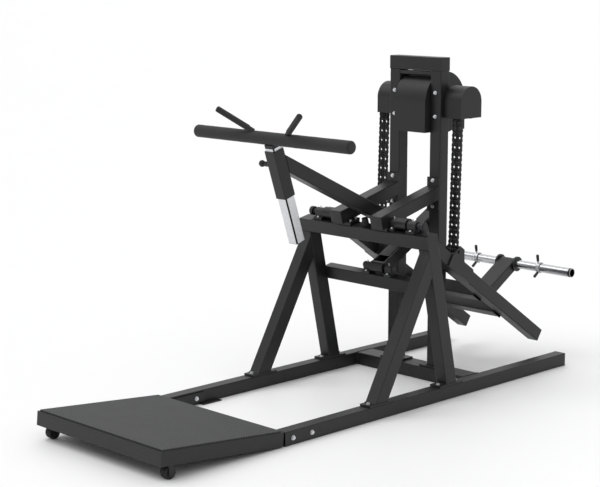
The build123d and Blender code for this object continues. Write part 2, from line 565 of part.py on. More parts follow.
# ---- weight lever -------------------------------------------------------------------------
def make_lever(tilt):
    """Lever arms, chain ears, cross beams, bar support, loading bar and collars."""
    angle = degrees(atan2(LEVER_END[1] - LEVER_PIVOT[1], LEVER_END[0] - LEVER_PIVOT[0]))

    def on_arm(distance, up):
        """Side view point on a lever arm, measured from its pivot."""
        return offset(LEVER_PIVOT, LEVER_END, along(LEVER_PIVOT, LEVER_END, distance), up)

    centre = along(CROSSBAR_TOP, REAR_LEG_FOOT, CROSSBAR_HEIGHT / 2)
    room = Plane(origin=(-HALF, *centre), x_dir=(0, cos(radians(tilt)), sin(radians(tilt))), z_dir=(1, 0, 0))
    room = extrude(room * Rectangle(LEG_DEPTH + 4, CROSSBAR_HEIGHT + 4), 2 * HALF)
    swing = Plane(origin=(-HALF, *LEVER_PIVOT), z_dir=(1, 0, 0),
                  x_dir=(0, cos(radians(tilt)), sin(radians(tilt))))
    swing = extrude(swing * Pos(-40, -40) * Rectangle(80, 80), 2 * HALF)
    swing -= rod(-HALF - 1, HALF + 1, *LEVER_PIVOT, 31)
    for side, name in ((1, "right"), (-1, "left")):
        x = side * LEVER_X
        arm = beam(x, LEVER_PIVOT, LEVER_END, TUBE, TUBE) - room - swing
        arm = sorted(arm.solids(), key=lambda solid: solid.volume)[-1]
        hub = rod(x - TUBE / 2, x + TUBE / 2, *LEVER_PIVOT, 31)
        keep("lever_arm_" + name, arm + hub - rod(x - 40, x + 40, *LEVER_PIVOT, SHAFT_R))
    stubs = both(lambda side: rod(*span(side, 184, 398), *LEVER_PIVOT, SHAFT_R))
    stubs += both(lambda side: ring(*span(side, 376, 396), *LEVER_PIVOT, 24, SHAFT_R))
    keep("lever_stubs", stubs)

    ears = []
    near, far = LEVER_X - TUBE / 2, LEVER_X + TUBE / 2
    outline = [on_arm(396, -35), on_arm(606, -35), on_arm(606, 22), on_arm(588, 40), on_arm(500, 40),
               on_arm(478, 70), on_arm(462, 94), on_arm(420, 94), on_arm(408, 60), on_arm(396, 30)]
    for side in (1, -1):
        pin = rod(*span(side, near - 14, far + 14), *EAR_PIN, PIN_R)
        ears += [prism(outline, *span(side, x0, x0 + 8)) - pin for x0 in (near - 8, far)] + [pin]
    keep("chain_ears", ears)

    beams = []
    for distance in (800, 1010):
        beams.append(cross_tube(-near, near, on_arm(distance, -8), TUBE, TUBE, angle))
    keep("lever_beams", beams)

    foot = on_arm(1010 + TUBE / 2 + GAP, -8)
    support = solid_beam(0, foot, LOADING, 2 * STOP_X, 60) - solid_beam(0, foot, LOADING, 2 * STOP_X - 12, 48, 2)
    support += rod(-STOP_X, STOP_X, *LOADING, 30)
    support -= solid_beam(0, on_arm(1010, -8), on_arm(1010 + TUBE / 2 + GAP, -8), 2 * near, TUBE + 1)
    support = sorted(support.solids(), key=lambda solid: solid.volume)[-1]
    keep("bar_support", support - rod(-STOP_X - 1, STOP_X + 1, *LOADING, 20))
    bar = rod(-STOP_X - 12, STOP_X + 12, *LOADING, 20)
    for side in (1, -1):
        bar += rod(*span(side, STOP_X + 12, STEP_X), *LOADING, INNER_RADIUS)
        bar += rod(*span(side, STEP_X, LOADING_HALF), *LOADING, LOADING_RADIUS)
    keep("loading_bar", bar)
    keep("loading_stops", both(lambda side: ring(*span(side, STOP_X, STOP_X + 12), *LOADING, DISC_RADIUS, 20)))
    for side, name in ((1, "right"), (-1, "left")):
        collar = rod(side * COLLAR_X - 12, side * COLLAR_X + 12, *LOADING, 33)
        for turn in (100, 215):
            way = (0, cos(radians(turn)), sin(radians(turn)))
            collar += extrude(Plane(origin=(side * COLLAR_X, *LOADING), z_dir=way) * Circle(5), 74)
        bore = rod(side * COLLAR_X - 13, side * COLLAR_X + 13, *LOADING, LOADING_RADIUS + RUNNING)
        keep("spring_collar_" + name, collar - bore)


def main():
    """Build every node and write its STEP file."""
    make_base()
    bolts = make_platform()
    leg_bolts, tilt, low, flanges = make_legs()
    bolts += leg_bolts
    bolts += make_mast(tilt, flanges)
    keep("frame_bolts", bolts)
    make_guards()
    make_drive()
    make_bearings(tilt, low)
    foot = make_press_arm()
    make_tbar(foot)
    make_pin(foot)
    make_lever(tilt)
    for name, solids in nodes.items():
        moved = [ORIGIN * solid for solid in solids]
        shape = moved[0] if len(moved) == 1 else Compound(children=moved)
        shape.label = name
        export_step(shape, f"parts/{name}.step")


main()
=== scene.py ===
"""Finish of a standing leg press: coats, foam, chains, spring clips, welds and bearing fittings."""

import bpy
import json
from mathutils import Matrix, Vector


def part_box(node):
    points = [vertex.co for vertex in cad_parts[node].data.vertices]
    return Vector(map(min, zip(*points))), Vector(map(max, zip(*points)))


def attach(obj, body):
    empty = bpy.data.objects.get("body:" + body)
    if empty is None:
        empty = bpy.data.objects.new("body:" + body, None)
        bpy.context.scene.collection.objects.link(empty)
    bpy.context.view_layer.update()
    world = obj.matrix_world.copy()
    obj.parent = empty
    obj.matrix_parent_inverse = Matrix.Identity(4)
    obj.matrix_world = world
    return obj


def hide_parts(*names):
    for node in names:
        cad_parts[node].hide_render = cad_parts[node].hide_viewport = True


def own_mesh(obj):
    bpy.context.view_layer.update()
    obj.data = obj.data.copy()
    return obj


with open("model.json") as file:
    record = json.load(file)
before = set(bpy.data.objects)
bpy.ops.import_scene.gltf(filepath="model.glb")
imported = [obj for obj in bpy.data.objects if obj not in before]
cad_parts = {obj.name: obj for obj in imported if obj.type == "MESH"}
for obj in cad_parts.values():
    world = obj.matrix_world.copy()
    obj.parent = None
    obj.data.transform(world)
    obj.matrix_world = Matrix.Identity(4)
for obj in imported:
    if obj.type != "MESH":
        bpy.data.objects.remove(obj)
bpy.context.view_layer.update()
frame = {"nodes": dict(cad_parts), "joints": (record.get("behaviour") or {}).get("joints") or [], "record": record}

import json
from math import cos, pi, radians, sin

import bmesh
import bpy
from bpy.props import FloatProperty, FloatVectorProperty, IntProperty, PointerProperty
from mathutils import Vector

bl_info = {
    "name": "Standing Leg Press Finish",
    "version": (1, 0, 0),
    "blender": (4, 5, 0),
    "location": "View3D > Sidebar > Leg Press",
    "description": "Adds the finish and the small parts of a standing leg press",
    "category": "Object",
}

SIDES = {"right": 1, "left": -1}    # the two halves and their signs along X
ACROSS = Vector((1, 0, 0))
SHARP_ANGLE = radians(38)           # edges sharper than this are not smoothed

# Frame, in metres, and slopes as seen from the side
SHAFT_Y = 0.833                     # drive shaft in the machine's own side view
TUBE = 0.07                         # width of the square tubes
TUBE_HALF = TUBE / 2
POST_X = 0.1415                     # middle of each mast post
SLEEVE_RADIUS = 0.025               # loading sleeves
FACE_TILT = radians(12.1)           # upper faces of the crossbars
BRACE_SLOPE = radians(14.52)
LEVER_SLOPE = radians(-33.99)
POST_LEAN = radians(18.5)           # sliding post, foot to the rear
POST_FRONT = -0.0149                # front corners of the post, where the painted dark reflection line runs, measured square to its lean
POST_SIDE = 0.0248                  # where those corners begin, from the middle of the post

# Chains, in metres
PITCH = 0.0254
CENTRE_TEETH = 24
SIDE_TEETH = 15
CENTRE_RADIUS = PITCH / (2 * sin(pi / CENTRE_TEETH))
SIDE_RADIUS = PITCH / (2 * sin(pi / SIDE_TEETH))
STRAND = 0.0155                     # from the middle of a side chain to each strand
PIN_PAST = 0.0155                   # how far a pin reaches past the middle of the outer strand
PIN_RADIUS = 0.0042
PIN_TIP = 0.0036                    # chamfered end of a pin
ROLLER_RADIUS = 0.0078
ROLLER_HALF = 0.0062                # half width of a roller
PLATE_THICK = 0.0026
PLATE_REACH = 0.0106                # half height of a link plate
INNER_LINK = (0.0072, 0.96)         # offset of the plates from their strand, waist as a share of their height
OUTER_LINK = (0.0105, 0.72)
HIDDEN_CHAIN = 0.128                # stretch of the centre chain above the shaft, inside its guard


def joint_at(name):
    """Place of a joint at rest."""
    return Vector(next(joint for joint in frame["joints"] if joint["name"] == name)["pos_m"])


SHAFT = joint_at("shaft_turn")
DATUM_Y = SHAFT.y - SHAFT_Y


def at(x, y, z):
    """Point from millimetres in the machine's own side view."""
    return Vector((x / 1000, y / 1000 + DATUM_Y, z / 1000))


# ---- properties ---------------------------------------------------------------------------
class PressFinish(bpy.types.PropertyGroup):
    """Colours of the finishes."""
    coat: FloatVectorProperty(name="Coat", description="Powder coat of the frame", subtype="COLOR",
                              size=3, min=0, max=1, default=(0.0085, 0.0085, 0.0095))
    mat: FloatVectorProperty(name="Mat", description="Grip mat of the platform", subtype="COLOR",
                             size=3, min=0, max=1, default=(0.05, 0.051, 0.053))
    foam: FloatVectorProperty(name="Foam", description="Foam of the T-bar", subtype="COLOR",
                              size=3, min=0, max=1, default=(0.012, 0.012, 0.0132))
    zinc: FloatVectorProperty(name="Zinc", description="Plated post and bolts", subtype="COLOR",
                              size=3, min=0, max=1, default=(0.68, 0.69, 0.71))


class PressSizes(bpy.types.PropertyGroup):
    """Sizes of the small parts."""
    weld: FloatProperty(name="Weld", description="Half width of a weld bead", default=0.0032,
                        min=0.001, max=0.01, unit="LENGTH")
    ridge: FloatProperty(name="Grip ridge", description="Spacing of the grip ridges", default=0.008,
                         min=0.004, max=0.02, unit="LENGTH")
    coils: IntProperty(name="Clip coils", description="Turns of a spring clip", default=3, min=2, max=6)
    wire: FloatProperty(name="Clip wire", description="Wire radius of a spring clip", default=0.0032,
                        min=0.001, max=0.004, unit="LENGTH")


class PressStage(bpy.types.PropertyGroup):
    """Studio settings."""
    floor: FloatVectorProperty(name="Floor", description="Floor colour", subtype="COLOR",
                               size=3, min=0, max=1, default=(0.88, 0.88, 0.885))
    key: FloatProperty(name="Key light", description="Strength of the key light", default=1.5, min=0)
    lens: FloatProperty(name="Lens", description="Focal length", default=95.53, min=20, max=200)


# ---- shader expressions -------------------------------------------------------------------
class Sock:
    """A shader socket that can stand in a Python expression."""

    def __init__(self, coat, socket):
        self.coat = coat
        self.socket = socket

    def maths(self, operation, first, second=0.0):
        """Add one Math node."""
        return self.coat.node("ShaderNodeMath", {"operation": operation}, {0: first, 1: second})

    def __add__(self, other):
        return self.maths("ADD", self, other)

    def __sub__(self, other):
        return self.maths("SUBTRACT", self, other)

    def __mul__(self, other):
        return self.maths("MULTIPLY", self, other)

    def __rsub__(self, other):
        return self.maths("SUBTRACT", other, self)

    def __pow__(self, other):
        return self.maths("POWER", self, other)

    __radd__ = __add__
    __rmul__ = __mul__

    def absolute(self):
        return self.maths("ABSOLUTE", self)

    def sine(self):
        return self.maths("SINE", self)

    def clamped(self, low, high):
        return self.maths("MINIMUM", self.maths("MAXIMUM", self, low), high)


class Coat:
    """A material built from node expressions."""

    def __init__(self, name):
        self.material = bpy.data.materials.new(name)
        self.material.use_nodes = True
        self.tree = self.material.node_tree
        self.tree.nodes.clear()
        self.place = self.node("ShaderNodeTexCoord", out=3)

    def node(self, kind, settings=None, inputs=None, out=0):
        """Add a node: its settings first, then the values or links of its sockets."""
        made = self.tree.nodes.new(kind)
        for key, value in (settings or {}).items():
            setattr(made, key, value)
        for key, value in (inputs or {}).items():
            if isinstance(value, Sock):
                self.tree.links.new(value.socket, made.inputs[key])
            else:
                made.inputs[key].default_value = value
        return Sock(self, made.outputs[out])

    def noise(self, scale, detail=3.0, stretch=(1, 1, 1)):
        """Noise from 0 to 1 over the surface; scale is per metre."""
        place = self.node("ShaderNodeMapping", None, {"Vector": self.place, "Scale": stretch})
        return self.node("ShaderNodeTexNoise", None, {"Vector": place, "Scale": scale, "Detail": detail})

    def cells(self, scale):
        """Distance to the nearest cell middle over the surface; scale is per metre."""
        return self.node("ShaderNodeTexVoronoi", None, {"Vector": self.place, "Scale": scale})

    def axis(self, index):
        """One coordinate of the surface point, in metres."""
        return self.node("ShaderNodeSeparateXYZ", None, {0: self.place}, index)

    def blend(self, factor, first, second):
        """Mix two colours."""
        inputs = {0: factor, 6: first, 7: second}
        return self.node("ShaderNodeMix", {"data_type": "RGBA"}, inputs, 2)

    def surface(self, colour, roughness, height=None, depth=0.0002, **constants):
        """Close the material; height feeds a bump of that depth in metres."""
        inputs = {"Base Color": colour, "Roughness": roughness}
        inputs.update({key.replace("_", " "): value for key, value in constants.items()})
        if height is not None:
            bump = {"Height": height, "Distance": depth, "Strength": 0.8}
            inputs["Normal"] = self.node("ShaderNodeBump", None, bump)
        shader = self.node("ShaderNodeBsdfPrincipled", None, inputs)
        output = self.tree.nodes.new("ShaderNodeOutputMaterial")
        self.tree.links.new(shader.socket, output.inputs["Surface"])
        return self.material


def shade(colour, factor):
    """A lighter or darker copy of a colour, with alpha."""
    return tuple(min(channel * factor, 1.0) for channel in colour) + (1.0,)


def powder_coat(name, colour, roughness):
    """Satin powder coat: orange peel, soft patches and a little floor dust low down."""
    coat = Coat(name)
    dust_colour = (0.2, 0.195, 0.19, 1.0)
    dust_fade = 7.0                 # per metre of height
    patches = coat.noise(5.0, 4.0)
    dust = (1.0 - coat.axis(2) * dust_fade).clamped(0.0, 1.0) * coat.noise(38.0, 6.0) ** 2.0
    base = coat.blend(patches, shade(colour, 0.8), shade(colour, 1.3))
    base = coat.blend(dust * 0.12, base, dust_colour)
    peel = coat.noise(420.0, 2.0) + coat.noise(1500.0, 1.0) * 0.4
    rough = roughness - 0.06 + patches * 0.1 + dust * 0.25
    return coat.surface(base, rough, peel, 0.00035, Specular_IOR_Level=0.4)


def grip_mat(name, colour):
    """Rubber mat with small raised diamonds, painted darker between them as painted shade and lighter on their
    tops as painted light.
    """
    coat = Coat(name)
    stud_step = 0.03                # metres between studs along the mat
    turn = 2 * pi / stud_step
    across = (coat.axis(0) * turn + coat.axis(1) * turn).sine()
    back = (coat.axis(0) * turn - coat.axis(1) * turn).sine()
    studs = (across * back).clamped(0.0, 0.55)
    scuff = coat.noise(9.0, 6.0)
    # painted shade and light: the mat is painted darker between the raised diamonds and lighter on their tops,
    # following their height
    base = coat.blend(studs * 1.6, shade(colour, 0.35), shade(colour, 1.5))
    base = coat.blend(scuff * 0.3, base, shade(colour, 1.8))
    return coat.surface(base, 0.62 + scuff * 0.2, studs + coat.noise(900.0) * 0.15, 0.0012)


def cell_foam(name, colour):
    """Moulded foam with fine closed pores."""
    coat = Coat(name)
    pores = coat.cells(900.0)
    patches = coat.noise(14.0, 4.0)
    base = coat.blend(patches, shade(colour, 0.75), shade(colour, 1.5))
    return coat.surface(base, 0.78 + patches * 0.12, pores + coat.noise(260.0) * 0.6, 0.0005,
                        Sheen_Weight=0.12)


def rubber(name, colour):
    """Moulded rubber."""
    coat = Coat(name)
    patches = coat.noise(30.0, 5.0)
    base = coat.blend(patches, shade(colour, 0.7), shade(colour, 1.6))
    return coat.surface(base, 0.6 + patches * 0.18, coat.noise(700.0), 0.0003)


def zinc_plate(name, colour):
    """Zinc plate with a faint spangle, and a painted dark reflection line along the front corners of the post."""
    coat = Coat(name)
    spangle = coat.cells(110.0)
    drawn = coat.noise(60.0, 4.0, (1.0, 1.0, 0.08))
    base = coat.blend(spangle * 0.6 + drawn * 0.4, shade(colour, 0.8), shade(colour, 1.12))
    # painted reflection: a dark line painted into the colour along the post's front corners, standing in for the
    # dark reflection seen there
    forward = coat.axis(1) * -cos(POST_LEAN) - coat.axis(2) * sin(POST_LEAN)
    reach = 0.0065                  # metres, either way along the lean
    sharpness = 900.0               # per metre across the edge of the line
    front = ((reach - (forward - POST_FRONT).absolute()) * sharpness).clamped(0.0, 1.0)
    side = ((coat.axis(0).absolute() - POST_SIDE) * sharpness).clamped(0.0, 1.0)
    base = coat.blend(front * side, base, shade(colour, 0.03))
    return coat.surface(base, 0.25 + drawn * 0.16, drawn, 0.0001, Metallic=1.0)


def chrome(name, colour):
    """Polished sleeve with fine turned lines and slide marks."""
    coat = Coat(name)
    marks = coat.noise(300.0, 5.0, (0.03, 1.0, 1.0))
    base = coat.blend(marks, shade(colour, 0.85), shade(colour, 1.1))
    lines = coat.noise(500.0, 2.0, (1.0, 0.05, 0.05))
    return coat.surface(base, 0.16 + marks * 0.16, lines, 0.00004, Metallic=1.0)


def chain_steel(name, colour):
    """Blackened chain steel with an oily film."""
    coat = Coat(name)
    film = coat.noise(70.0, 5.0)
    base = coat.blend(film, shade(colour, 0.6), shade(colour, 1.7))
    return coat.surface(base, 0.26 + film * 0.22, coat.noise(600.0), 0.00015, Metallic=0.75)


def casting(name, colour):
    """Painted casting with a sandy skin."""
    coat = Coat(name)
    grit = coat.noise(240.0, 5.0)
    base = coat.blend(coat.noise(12.0), shade(colour, 0.8), shade(colour, 1.4))
    return coat.surface(base, 0.45 + grit * 0.15, grit, 0.0007)


def moulded(name, colour):
    """Textured plastic."""
    coat = Coat(name)
    grain = coat.cells(1100.0)
    base = coat.blend(coat.noise(20.0), shade(colour, 0.8), shade(colour, 1.3))
    return coat.surface(base, 0.45 + grain * 0.15, grain, 0.00025)


def finish(slot):
    """The material of one slot, made once."""
    found = bpy.data.materials.get("press_" + slot)
    if found:
        return found
    colours = bpy.context.scene.press_finish
    coat = tuple(colours.coat)
    name = "press_" + slot
    makers = {
        "frame_black": lambda: powder_coat(name, coat, 0.4),
        "guard_black": lambda: powder_coat(name, shade(coat, 1.2)[:3], 0.46),
        "mat_black": lambda: grip_mat(name, tuple(colours.mat)),
        "foam_black": lambda: cell_foam(name, tuple(colours.foam)),
        "rubber_black": lambda: rubber(name, (0.007, 0.007, 0.007)),
        "zinc": lambda: zinc_plate(name, tuple(colours.zinc)),
        "chrome": lambda: chrome(name, (0.5, 0.505, 0.52)),
        "chain_steel": lambda: chain_steel(name, (0.03, 0.03, 0.032)),
        "bearing_black": lambda: casting(name, (0.01, 0.01, 0.0105)),
        "plastic_black": lambda: moulded(name, (0.008, 0.008, 0.0086)),
    }
    return makers[slot]()


# ---- mesh helpers -------------------------------------------------------------------------
def make_piece(name, mesh, body, slot, replaced=()):
    """Turn a bmesh into a finished piece on a body."""
    bmesh.ops.recalc_face_normals(mesh, faces=mesh.faces)
    data = bpy.data.meshes.new(name)
    mesh.to_mesh(data)
    mesh.free()
    data.polygons.foreach_set("use_smooth", [True] * len(data.polygons))
    data.set_sharp_from_angle(angle=SHARP_ANGLE)
    piece = bpy.data.objects.new(name, data)
    bpy.context.scene.collection.objects.link(piece)
    data.materials.append(finish(slot))
    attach(piece, body)
    if replaced:
        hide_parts(*replaced)
    return piece


def frame_of(direction):
    """Two unit vectors square to a direction."""
    way = direction.normalized()
    side = way.cross(Vector((0, 0, 1)) if abs(way.z) < 0.9 else Vector((1, 0, 0))).normalized()
    return side, way.cross(side)


def skin(mesh, rings, closed=False):
    """Join rings of points with faces and cap the two ends."""
    made = [[mesh.verts.new(point) for point in ring] for ring in rings]
    pairs = list(zip(made, made[1:])) + ([(made[-1], made[0])] if closed else [])
    for low, high in pairs:
        for index in range(len(low)):
            after = (index + 1) % len(low)
            mesh.faces.new((low[index], low[after], high[after], high[index]))
    if not closed:
        mesh.faces.new(made[0][::-1])
        mesh.faces.new(made[-1])


def lathe(mesh, start, direction, profile, steps=40):
    """Turned solid: profile lists (distance, radius) along a line."""
    way = direction.normalized()
    side, up = frame_of(way)
    rings = []
    for distance, radius in profile:
        centre = start + way * distance
        turns = (2 * pi * step / steps for step in range(steps))
        rings.append([centre + (side * cos(turn) + up * sin(turn)) * radius for turn in turns])
    skin(mesh, rings)


def sweep(mesh, points, radius, sides=10, closed=False, ripple=0.0):
    """Round wire along points; ripple varies its thickness like a weld bead."""
    rings = []
    count = len(points)
    for index, point in enumerate(points):
        before = points[index - 1] if index or closed else point
        after = points[(index + 1) % count] if index < count - 1 or closed else point
        side, up = frame_of(after - before)
        size = radius * (1 + ripple * sin(index * 2 * pi / 3))
        turns = (2 * pi * step / sides for step in range(sides))
        rings.append([point + (side * cos(turn) + up * sin(turn)) * size for turn in turns])
    skin(mesh, rings, closed)


def rounded(length, radius, corner, steps):
    """Profile of a bar with rounded ends."""
    turns = [pi / 2 * step / steps for step in range(steps + 1)]
    start = [(corner - corner * cos(turn), radius - corner + corner * sin(turn)) for turn in turns]
    return start + [(length - distance, size) for distance, size in reversed(start)]


def hex_bolt(mesh, place, direction, radius, head):
    """Hexagon head with a chamfered top on a washer, and the end of its shank."""
    washer = [(0, radius * 1.32), (0.0015, radius * 1.32), (0.0019, radius * 1.2)]
    low = 0.0017                    # just inside the washer
    hexagon = [(low, radius), (head - 0.001, radius), (head, radius * 0.86)]
    shank = [(low, radius * 0.5), (head + 0.0006, radius * 0.5)]
    for profile, steps in ((washer, 28), (hexagon, 6), (shank, 20)):
        lathe(mesh, place, direction, profile, steps)


# ---- chains -------------------------------------------------------------------------------
def link_plate(mesh, low, high, x, waist):
    """Waisted link plate between two pins, both given as (y, z)."""
    first, second = Vector(low), Vector(high)
    way = (second - first).normalized()
    square = Vector((-way.y, way.x))
    length = (second - first).length
    outline = []
    for centre, start, side in ((0.0, 90, -1), (length, -90, 1)):
        for step in range(9):
            turn = radians(start + 180 * step / 8)
            outline.append((centre + PLATE_REACH * cos(turn), PLATE_REACH * sin(turn)))
        outline.append((length / 2, side * PLATE_REACH * waist))
    rings = []
    for offset in (0.0, PLATE_THICK):
        points = (first + way * along + square * across for along, across in outline)
        rings.append([Vector((x + offset, point.x, point.y)) for point in points])
    skin(mesh, rings)


def roller_chain(mesh, pins, x, strands):
    """Roller chain through pins in the side view; strands are offsets across its width."""
    half = max(abs(strand) for strand in strands) + PIN_PAST
    length = 2 * half
    pin_profile = [(0, PIN_TIP), (0.001, PIN_RADIUS), (length - 0.001, PIN_RADIUS), (length, PIN_TIP)]
    roller_profile = [(0, ROLLER_RADIUS), (2 * ROLLER_HALF, ROLLER_RADIUS)]
    for index, pin in enumerate(pins):
        lathe(mesh, Vector((x - half, *pin)), ACROSS, pin_profile, 12)
        for strand in strands:
            lathe(mesh, Vector((x + strand - ROLLER_HALF, *pin)), ACROSS, roller_profile, 14)
        if index == len(pins) - 1:
            continue
        spread, waist = OUTER_LINK if index % 2 else INNER_LINK
        for strand in strands:
            for side in (-1, 1):
                left = x + strand + side * spread - (PLATE_THICK if side < 0 else 0.0)
                link_plate(mesh, pin, pins[index + 1], left, waist)


def straight_pins(start, end, extra=0.0):
    """Pins one pitch apart from the start up to the end of a run."""
    way = (end - start).normalized()
    count = int(((end - start).length + extra) / PITCH)
    return [tuple((start + way * PITCH * index).yz) for index in range(count + 1)], way


def round_pins(radius, teeth, first, last):
    """Pins lying on a sprocket between two angles in degrees."""
    step = 360 / teeth
    count = int((last - first) / step)
    turns = (radians(first + step * index) for index in range(count + 1))
    return [(SHAFT.y + radius * cos(turn), SHAFT.z + radius * sin(turn)) for turn in turns]


# ---- operators ----------------------------------------------------------------------------
class PressOperator(bpy.types.Operator):
    """Shared options of the making operators."""
    bl_options = {"REGISTER", "UNDO"}

    def execute(self, context):
        self.make(context)
        return {"FINISHED"}


class OBJECT_OT_press_coats(PressOperator):
    """Coat every part of the frame with the finish of its slot"""
    bl_idname = "object.press_coats"
    bl_label = "Coat Frame"

    def make(self, context):
        slots = {part["node"]: part["material_slot"] for part in frame["record"]["subparts"]}
        for name, part in frame["nodes"].items():
            part.data.materials.clear()
            part.data.materials.append(finish(slots[name]))


class OBJECT_OT_press_chains(PressOperator):
    """Make the roller chains with their plates, rollers and pins"""
    bl_idname = "object.press_chains"
    bl_label = "Chains"

    def make(self, context):
        strands = (-STRAND, STRAND)
        engage = 0.003              # how far below the shaft a run meets its sprocket
        for name in SIDES:
            pin = joint_at(f"side_chain_{name}_swing")
            top = Vector((pin.x, SHAFT.y - SIDE_RADIUS, SHAFT.z - engage))
            pins, way = straight_pins(pin, top)
            mesh = bmesh.new()
            roller_chain(mesh, pins, pin.x, strands)
            piece = make_piece(f"roller_chain_{name}", mesh, f"side_chain_{name}_run", "chain_steel",
                               [f"side_chain_{name}"])
            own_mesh(piece)
        pin = joint_at("centre_chain_swing")
        top = Vector((pin.x, SHAFT.y + CENTRE_RADIUS, SHAFT.z - engage))
        pins, way = straight_pins(pin, top, HIDDEN_CHAIN)
        mesh = bmesh.new()
        roller_chain(mesh, pins, 0.0, (0.0,))
        make_piece("roller_chain_centre", mesh, "centre_chain_run", "chain_steel", ["centre_chain"])
        mesh = bmesh.new()
        roller_chain(mesh, round_pins(CENTRE_RADIUS, CENTRE_TEETH, 7.5, 225), 0.0, (0.0,))
        for name in SIDES:
            x = joint_at(f"side_chain_{name}_swing").x
            roller_chain(mesh, round_pins(SIDE_RADIUS, SIDE_TEETH, 96, 170), x, strands)
        make_piece("roller_chain_wraps", mesh, "drive", "chain_steel", ["chain_wraps"])


class OBJECT_OT_press_tbar(PressOperator):
    """Make the foam of the T-bar and the ridged hand grips"""
    bl_idname = "object.press_tbar"
    bl_label = "T-bar Foam and Grips"

    def make(self, context):
        low, high = (Vector(corner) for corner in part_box("tbar_foam"))
        middle = (low + high) / 2
        length = high.x - low.x
        radius = (high.z - low.z) / 2
        corner_steps = 8
        crease = 0.06               # metres between the foam's shallow creases
        mesh = bmesh.new()
        profile = rounded(length, radius, 0.011, corner_steps)
        creases = [(crease * step, radius - 0.0004 * (step % 2)) for step in range(1, int(length / crease))]
        profile[corner_steps + 1:corner_steps + 1] = creases
        lathe(mesh, Vector((low.x, middle.y, middle.z)), ACROSS, profile, 56)
        foam = make_piece("foam_sleeve", mesh, "tbar", "foam_black", ["tbar_foam"])
        mesh = bmesh.new()
        plug = [(0, 0.0175), (0.0006, 0.0185), (0.006, 0.0185)]
        for end, way in ((low.x, 1), (high.x, -1)):
            lathe(mesh, Vector((end + way * 0.0002, middle.y, middle.z)), ACROSS * way, plug, 32)
        make_piece("bar_end_plugs", mesh, "tbar", "plastic_black")
        mesh = bmesh.new()
        ridge = context.scene.press_sizes.ridge
        foot = Vector((0.118, -0.006, radius - 0.003))      # right handle, from the bar's axis
        tip = Vector((0.289, -0.092, 0.134))
        for side in SIDES.values():
            mirror = Vector((side, 1, 1))
            way = (tip - foot) * mirror
            start = middle + foot * mirror + way.normalized() * 0.031
            length = way.length - 0.0315
            profile = [(0, 0.0135), (0.0008, 0.0152)]
            for step in range(1, int(length / ridge)):
                place = step * ridge
                profile += [(place - 0.0012, 0.0153), (place, 0.0143), (place + 0.0012, 0.0153)]
            profile += [(length - 0.004, 0.0152), (length - 0.001, 0.0135), (length, 0.009)]
            lathe(mesh, start, way, profile, 32)
        make_piece("ridged_grips", mesh, "tbar", "foam_black", ["handle_grips"])


class OBJECT_OT_press_clips(PressOperator):
    """Make the spring clips that hold the plates and the end plugs of the sleeves"""
    bl_idname = "object.press_clips"
    bl_label = "Spring Clips"

    def make(self, context):
        sizes = context.scene.press_sizes
        low, high = (Vector(corner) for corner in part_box("loading_bar"))
        axis = (low + high) / 2
        plug = [(0, 0.022), (0.0008, 0.0246), (0.0012, 0.0253), (0.014, 0.0253)]
        mesh = bmesh.new()
        for end, way in ((low.x, 1), (high.x, -1)):
            lathe(mesh, Vector((end, axis.y, axis.z)), ACROSS * way, plug, 40)
        make_piece("sleeve_end_plugs", mesh, "lever", "plastic_black")
        grip = [(0, 0.006), (0.001, 0.0072), (0.03, 0.0084), (0.0375, 0.0078), (0.0395, 0.005)]
        ring = SLEEVE_RADIUS + sizes.wire + 0.0006
        first, last = radians(100), radians(215) + 2 * pi * sizes.coils
        count = 26 * sizes.coils
        for name in SIDES:
            low, high = (Vector(corner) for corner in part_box(f"spring_collar_{name}"))
            middle = (low.x + high.x) / 2
            half = (high.x - low.x) / 2 - sizes.wire
            coil = []
            for step in range(count + 1):
                turn = first + (last - first) * step / count
                x = middle - half + 2 * half * step / count
                coil.append(Vector((x, axis.y + ring * cos(turn), axis.z + ring * sin(turn))))
            ends = []
            for turn, point in ((first, coil[0]), (last, coil[-1])):
                out = Vector((0, cos(turn), sin(turn)))
                ends.append([point + out * reach for reach in (0.006, 0.02, 0.042)])
            mesh = bmesh.new()
            sweep(mesh, ends[0][::-1] + coil + ends[1], sizes.wire, 10)
            make_piece(f"clip_coil_{name}", mesh, f"collar_{name}_body", "zinc", [f"spring_collar_{name}"])
            mesh = bmesh.new()
            for points in ends:
                way = points[2] - points[0]
                lathe(mesh, points[0] + way * 0.05, way, grip, 20)
            make_piece(f"clip_grips_{name}", mesh, f"collar_{name}_body", "plastic_black")


